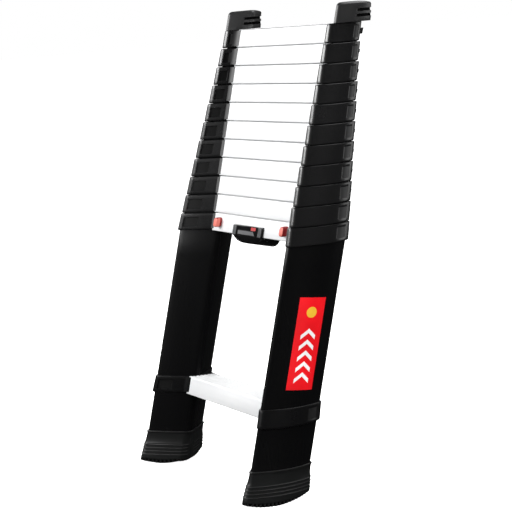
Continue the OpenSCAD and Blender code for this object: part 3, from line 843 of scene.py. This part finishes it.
def build_button(side):
    """Rounded thumb block on the front of the release rung, in one red plastic: its front, the walls just
    behind it and its inner wall above the base take a light salmon as painted highlight, the rest a darker
    red as painted shade.
    """
    word = "right" if side > 0 else "left"
    z = top_of("rung_2") - 14.4
    width, proud, height = BUTTON_SIZE
    rings, lit_faces = [], []
    levels = [(0.4, 0.6), (1.2, 0), (4.0, 0.1)]
    levels += [(proud - back, inset) for back, inset in ((2.4, 0.3), (1.2, 1.0), (0.4, 2.0), (0, 3.4))]
    for near, inset in levels:
        half_w, half_h = width / 2 - inset, height / 2 - inset
        corners = [(-half_w, -half_h), (half_w, -half_h), (half_w, half_h), (-half_w, half_h)]
        outline = rounded(corners, [4.6 - inset * 0.5] * 4, 5)
        count = len(outline)
        # Lit faces take the light salmon as painted highlight; the rest keep the darker red as painted shade.
        if near >= 4.0:
            inner = [j for j in range(count) if outline[j][0] < -0.3 * width or near > proud - 2]
            lit_faces += [len(rings) * count + j for j in inner]
        rings.append([np.array([BUTTON_X + a, lean_y(z + b) - near, z + b]) for a, b in outline])
    part = loft(rings)
    lit_faces += [i for i, face in enumerate(part[1]) if min(face) >= (len(rings) - 1) * count]
    make(f"{word}_thumb_button", part if side > 0 else mirrored(part), BUTTON_RED_SHADED, f"{word}_release",
         [f"{word}_release_button"], inlays=[(BUTTON_RED_LIT, sorted(set(lit_faces)))])


# ---- centre housing and handle ----

HOUSING_HALF = 61.0
HOUSING_X = -8.5
HOUSING_PROUD = 4.5
HANDLE_FRONT = 4.0
HANDLE_DEPTH = 39.5
HANDLE_DROP = (12.5, 22.0)
BOW_POWER = 4


def front_shape(outline, near, depth):
    """Closed plate on the leaning front of the release rung; x runs from the housing's middle."""
    return prism([(HOUSING_X + x, lean_y(z) - near, z) for x, z in outline], (0, depth, 0))


def front_block(x0, x1, z0, z1, near, depth):
    """Rectangular plate of that kind."""
    return front_shape([(x0, z0), (x1, z0), (x1, z1), (x0, z1)], near, depth)


def build_housing():
    """Black housing on the release rung: posts at its ends, a window and a plain red tag."""
    low, high = bottom_of("centre_housing"), top_of("centre_housing")
    half, proud = HOUSING_HALF, HOUSING_PROUD
    shell = front_block(-half, half, low, high, proud, proud - 0.1)
    bevelled(make("housing_shell", shell, HOUSING, "base", ["centre_housing"]), 1.6, 4)
    rails = [front_block(-40, 34, z, z + 0.8, proud + 0.6, 1.2) for z in (low + 2.6, high - 8.6)]
    bevelled(make("housing_ribs", joined(rails), HOUSING, "base"), 0.3, 2)
    posts = [front_block(x - 6.5, x + 6.5, low + 2, high - 0.6, proud + 1.2, 2.2) for x in (-53.5, 53)]
    bevelled(make("housing_posts", joined(posts), POST, "base"), 1.8, 4)
    sill, head = low + 3.6, high - 8.8
    window = front_shape([(-38.5, sill), (31.5, sill), (24, head), (-38.5, head)], proud + 0.4, 1.4)
    bevelled(make("grey_window", window, WINDOW, "base", ["indicator_window"]), 0.4, 2)
    tag_low = high - 7.2
    tag_corners = [(15, tag_low), (35, tag_low), (35, tag_low + 5.6), (15, tag_low + 5.6)]
    tag = front_shape(rounded(tag_corners, [1.4] * 4), proud + 0.35, 1.3)
    bevelled(make("housing_tag", tag, TAG, "base"), 0.3, 2)


def handle_drop(behind, share):
    """Depth of the handle below the rung, behind its own front and across its width."""
    front, rear = HANDLE_DROP
    return (front + (rear - front) * behind / HANDLE_DEPTH) * (1 - abs(share) ** BOW_POWER)


def handle_part(high, rows, outline_of):
    """Closed part of the handle from (distance behind its front, inset) rows."""
    rings = []
    for behind, inset in rows:
        y = lean_y(high) + behind - HANDLE_FRONT
        rings.append([np.array([HOUSING_X + x, y, z]) for x, z in outline_of(behind, inset)])
    return loft(rings)


def build_handle():
    """A scoop that hangs from the rung: a closed front, and a hollow behind it for the fingers."""
    high = top_of("carry_handle")
    steps = 28
    shares = [2 * i / steps - 1 for i in range(steps + 1)]

    def bow(behind, inset):
        return [((HOUSING_HALF - inset) * s, high - max(0.0, handle_drop(behind, s) - inset)) for s in shares]

    def whole(behind, inset):
        return bow(behind, inset) + [((HOUSING_HALF - inset) * s, high) for s in (0.9, 0.4, 0, -0.4, -0.9)]

    def shell(behind, inset):
        wall, top = 2.4, high - 0.05
        inner = [
            ((HOUSING_HALF - 14) * s, min(top, high - max(0.0, handle_drop(behind, s * 0.77) - wall - inset)))
            for s in reversed(shares)]
        return bow(behind, inset) + inner

    front_rows = [(0.0, 1.4), (0.5, 0.4), (1.4, 0.0), (12.0, 0.0)]
    shell_rows = [(11.5, 0.0), (26.0, 0.0), (38.1, 0.0), (39.0, 0.4), (39.5, 1.2)]
    parts = [handle_part(high, front_rows, whole), handle_part(high, shell_rows, shell)]
    make("handle_grip", joined(parts), HOUSING, "base", ["carry_handle"])


# ---- label on the right stile ----


def build_label():
    """Thin curved sheet with plain chevrons; it carries no wording."""
    length, width, tilt = 153.0, 47.0, math.radians(7)
    behind, middle_z = 15.4, 256.5
    dense = stations(fine=4)

    def on_tube(u, v, grow):
        """Point at u across and v up the label."""
        y = behind + u * (math.cos(tilt) + math.sin(tilt) * math.tan(LEAN))
        z = middle_z + v * math.cos(LEAN) + u * math.sin(-tilt)
        points = plan(1, grow, dense)
        side = points[dense[0] == OUTER_SIDE]
        x = float(np.interp(y, side[:, 1], side[:, 0]))
        return np.array([x + STILE_X, y + lean_y(z), z])

    def sheet(u_span, v_span, grow, shape=None, across=14, up=24):
        points, faces = [], []
        for layer in (0.02, grow):
            for j in range(up + 1):
                for i in range(across + 1):
                    s, t = i / across, j / up
                    u, v = shape(s, t) if shape else (
                        u_span[0] + (u_span[1] - u_span[0]) * s, v_span[0] + (v_span[1] - v_span[0]) * t)
                    points.append(on_tube(u, v, layer))
        row, size = across + 1, (across + 1) * (up + 1)
        for j in range(up):
            for i in range(across):
                a = j * row + i
                faces.append((size + a, size + a + 1, size + a + row + 1, size + a + row))
                faces.append((a + row, a + row + 1, a + 1, a))
        edge = list(range(across)) + [across + j * row for j in range(up)]
        edge += [up * row + across - i for i in range(across)] + [(up - j) * row for j in range(up)]
        for a, b in zip(edge, edge[1:] + edge[:1]):
            faces.append((a, b, size + b, size + a))
        return points, faces

    half_w, half_l = width / 2, length / 2
    ground = sheet((-half_w, half_w), (-half_l, half_l), 0.3)
    make("side_label_sheet", ground, LABEL, "base", ["side_label"])

    def chevron(centre, rise, thick, reach):
        def shape(s, t):
            u = -reach + 2 * reach * s
            return u, centre - rise * abs(u) / reach + thick * t
        return sheet(None, None, 0.42, shape, 12, 2)

    marks = [chevron(c, 11, 7, 13) for c in (-54, -36, -18, 0, 18)]
    make("side_label_marks", joined(marks), LABEL_PRINT, "base")

    def dot(s, t):
        r, centre = 9.0, 52.0
        u = r * math.sin((s - 0.5) * 0.94 * math.pi)
        return u, centre + (2 * t - 1) * math.sqrt(r * r - u * u)

    make("side_label_dot", sheet(None, None, 0.42, dot, 16, 6), LABEL_DOT, "base")


# ---- build ----

for n in range(1, SECTIONS + 1):
    build_tubes(n)
    build_collars(f"stack_collars_{n}", f"section_{n}_collars", n, True, TREAD_DEPTH)
build_collars("clamp_collars", "bottom_collars", 1, False, BOTTOM_TREAD_DEPTH)
for k in range(1, RUNGS + 1):
    build_rung(k)
build_top_shade_line()
for side in (-1, 1):
    build_foot(side, "right_boot" if side > 0 else "left_boot")
    build_cap(side, "right_bumper" if side > 0 else "left_bumper")
    build_button(side)
build_housing()
build_handle()
build_label()

for name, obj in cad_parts.items():
    if not obj.hide_render:
        obj.data.materials.clear()
        obj.data.materials.append(STEEL if "pin" in name or "spring" in name or "screw" in name else HOUSING)

# ---- floor, light and camera ----


def card(name, place, target, size, power, in_reflections=True):
    """Soft rectangular light that faces a target."""
    data = bpy.data.lights.new(name, "AREA")
    data.shape = "RECTANGLE"
    data.size, data.size_y = size
    data.energy = power
    lamp = bpy.data.objects.new(name, data)
    lamp.location = place
    lamp.rotation_euler = (Vector(target) - Vector(place)).to_track_quat("-Z", "Y").to_euler()
    lamp.visible_glossy = in_reflections
    bpy.context.scene.collection.objects.link(lamp)


def around(name, azimuth, spread, low, high, radiance, in_reflections=True):
    """Upright card 3 m away; its direction and its width are in degrees, its edges are heights."""
    distance = 3.0
    turn = math.radians(azimuth)
    width = 2 * distance * math.tan(math.radians(spread) / 2)
    height = high - low
    middle = (low + high) / 2
    place = (distance * math.cos(turn), distance * math.sin(turn), middle)
    card(name, place, (0, 0, middle), (width, height), radiance * math.pi * width * height, in_reflections)


def build_floor():
    mesh = bpy.data.meshes.new("floor")
    reach = 60
    corners = [(x * reach, y * reach, 0) for x, y in ((-1, -1), (1, -1), (1, 1), (-1, 1))]
    mesh.from_pydata(corners, [], [(0, 1, 2, 3)])
    floor = bpy.data.objects.new("floor", mesh)
    material = bpy.data.materials.new("pale_floor")
    material.use_nodes = True
    shader = material.node_tree.nodes["Principled BSDF"]
    shader.inputs["Base Color"].default_value = (0.9, 0.9, 0.9, 1)
    shader.inputs["Roughness"].default_value = 0.9
    shader.inputs["Specular IOR Level"].default_value = 0.0
    shader.inputs["Emission Color"].default_value = (1, 1, 1, 1)
    shader.inputs["Emission Strength"].default_value = 1.0
    mesh.materials.append(material)
    bpy.context.scene.collection.objects.link(floor)
    floor.visible_glossy = False
    floor.visible_diffuse = False


def build_world():
    """White behind the ladder, soft grey for its diffuse light, and nearly black in its reflections."""
    world = bpy.data.worlds.new("studio")
    bpy.context.scene.world = world
    world.use_nodes = True
    tree = world.node_tree
    tree.nodes.clear()
    path = tree.nodes.new("ShaderNodeLightPath")
    lit = [tree.nodes.new("ShaderNodeBackground") for _ in range(3)]
    for background in lit:
        background.inputs["Color"].default_value = (1, 1, 1, 1)
    lit[0].inputs["Strength"].default_value = 1.0
    lit[1].inputs["Strength"].default_value = 0.02
    seen, reflected, around = (background.outputs[0] for background in lit)
    direction = tree.nodes.new("ShaderNodeTexCoord").outputs["Generated"]
    split = tree.nodes.new("ShaderNodeSeparateXYZ")
    tree.links.new(direction, split.inputs[0])
    dimmer = tree.nodes.new("ShaderNodeMapRange")
    for name, value in (("From Min", -0.3), ("From Max", 0.3), ("To Min", 0.1), ("To Max", 0.52)):
        dimmer.inputs[name].default_value = value
    tree.links.new(split.outputs["Z"], dimmer.inputs["Value"])
    tree.links.new(dimmer.outputs["Result"], lit[2].inputs["Strength"])
    others = tree.nodes.new("ShaderNodeMixShader")
    tree.links.new(path.outputs["Is Glossy Ray"], others.inputs[0])
    tree.links.new(around, others.inputs[1])
    tree.links.new(reflected, others.inputs[2])
    mixed = tree.nodes.new("ShaderNodeMixShader")
    output = tree.nodes.new("ShaderNodeOutputWorld")
    tree.links.new(path.outputs["Is Camera Ray"], mixed.inputs[0])
    tree.links.new(others.outputs[0], mixed.inputs[1])
    tree.links.new(seen, mixed.inputs[2])
    tree.links.new(mixed.outputs[0], output.inputs["Surface"])


def build_camera():
    """Long lens in front and to the right of the ladder, level with its top, rolled a little."""
    place = Vector((3.2755, -1.4369, 0.7950))
    right = Vector((0.41118, 0.90783, -0.08233))
    up = Vector((-0.07183, 0.12231, 0.98989))
    data = bpy.data.cameras.new("camera")
    data.sensor_width = 36.0
    data.lens = 145.51
    camera = bpy.data.objects.new("camera", data)
    turn = Matrix((right, up, right.cross(up))).transposed()
    camera.matrix_world = Matrix.Translation(place) @ turn.to_4x4()
    bpy.context.scene.collection.objects.link(camera)
    bpy.context.scene.camera = camera


build_floor()
build_world()
build_camera()
around("left_card", 175.5, 39, 0.35, 2.0, 1.5)
around("high_card", -124, 48, 1.58, 2.3, 15.5)
around("low_card", -124, 48, 0.85, 1.58, 1.3)
around("front_fill", -110, 50, 0.3, 1.6, 1.6, in_reflections=False)
around("front_card", -79, 22, 1.35, 2.3, 0.6)
around("rear_card", 77, 24, 0.0, 1.7, 1.9)
around("right_fill", -10, 50, 0.3, 2.3, 4.5, in_reflections=False)
card("top_card", (0.3, 0.9, 2.6), (0, 0, 0.5), (2.4, 1.8), 60)
bpy.context.scene.view_settings.view_transform = "Standard"
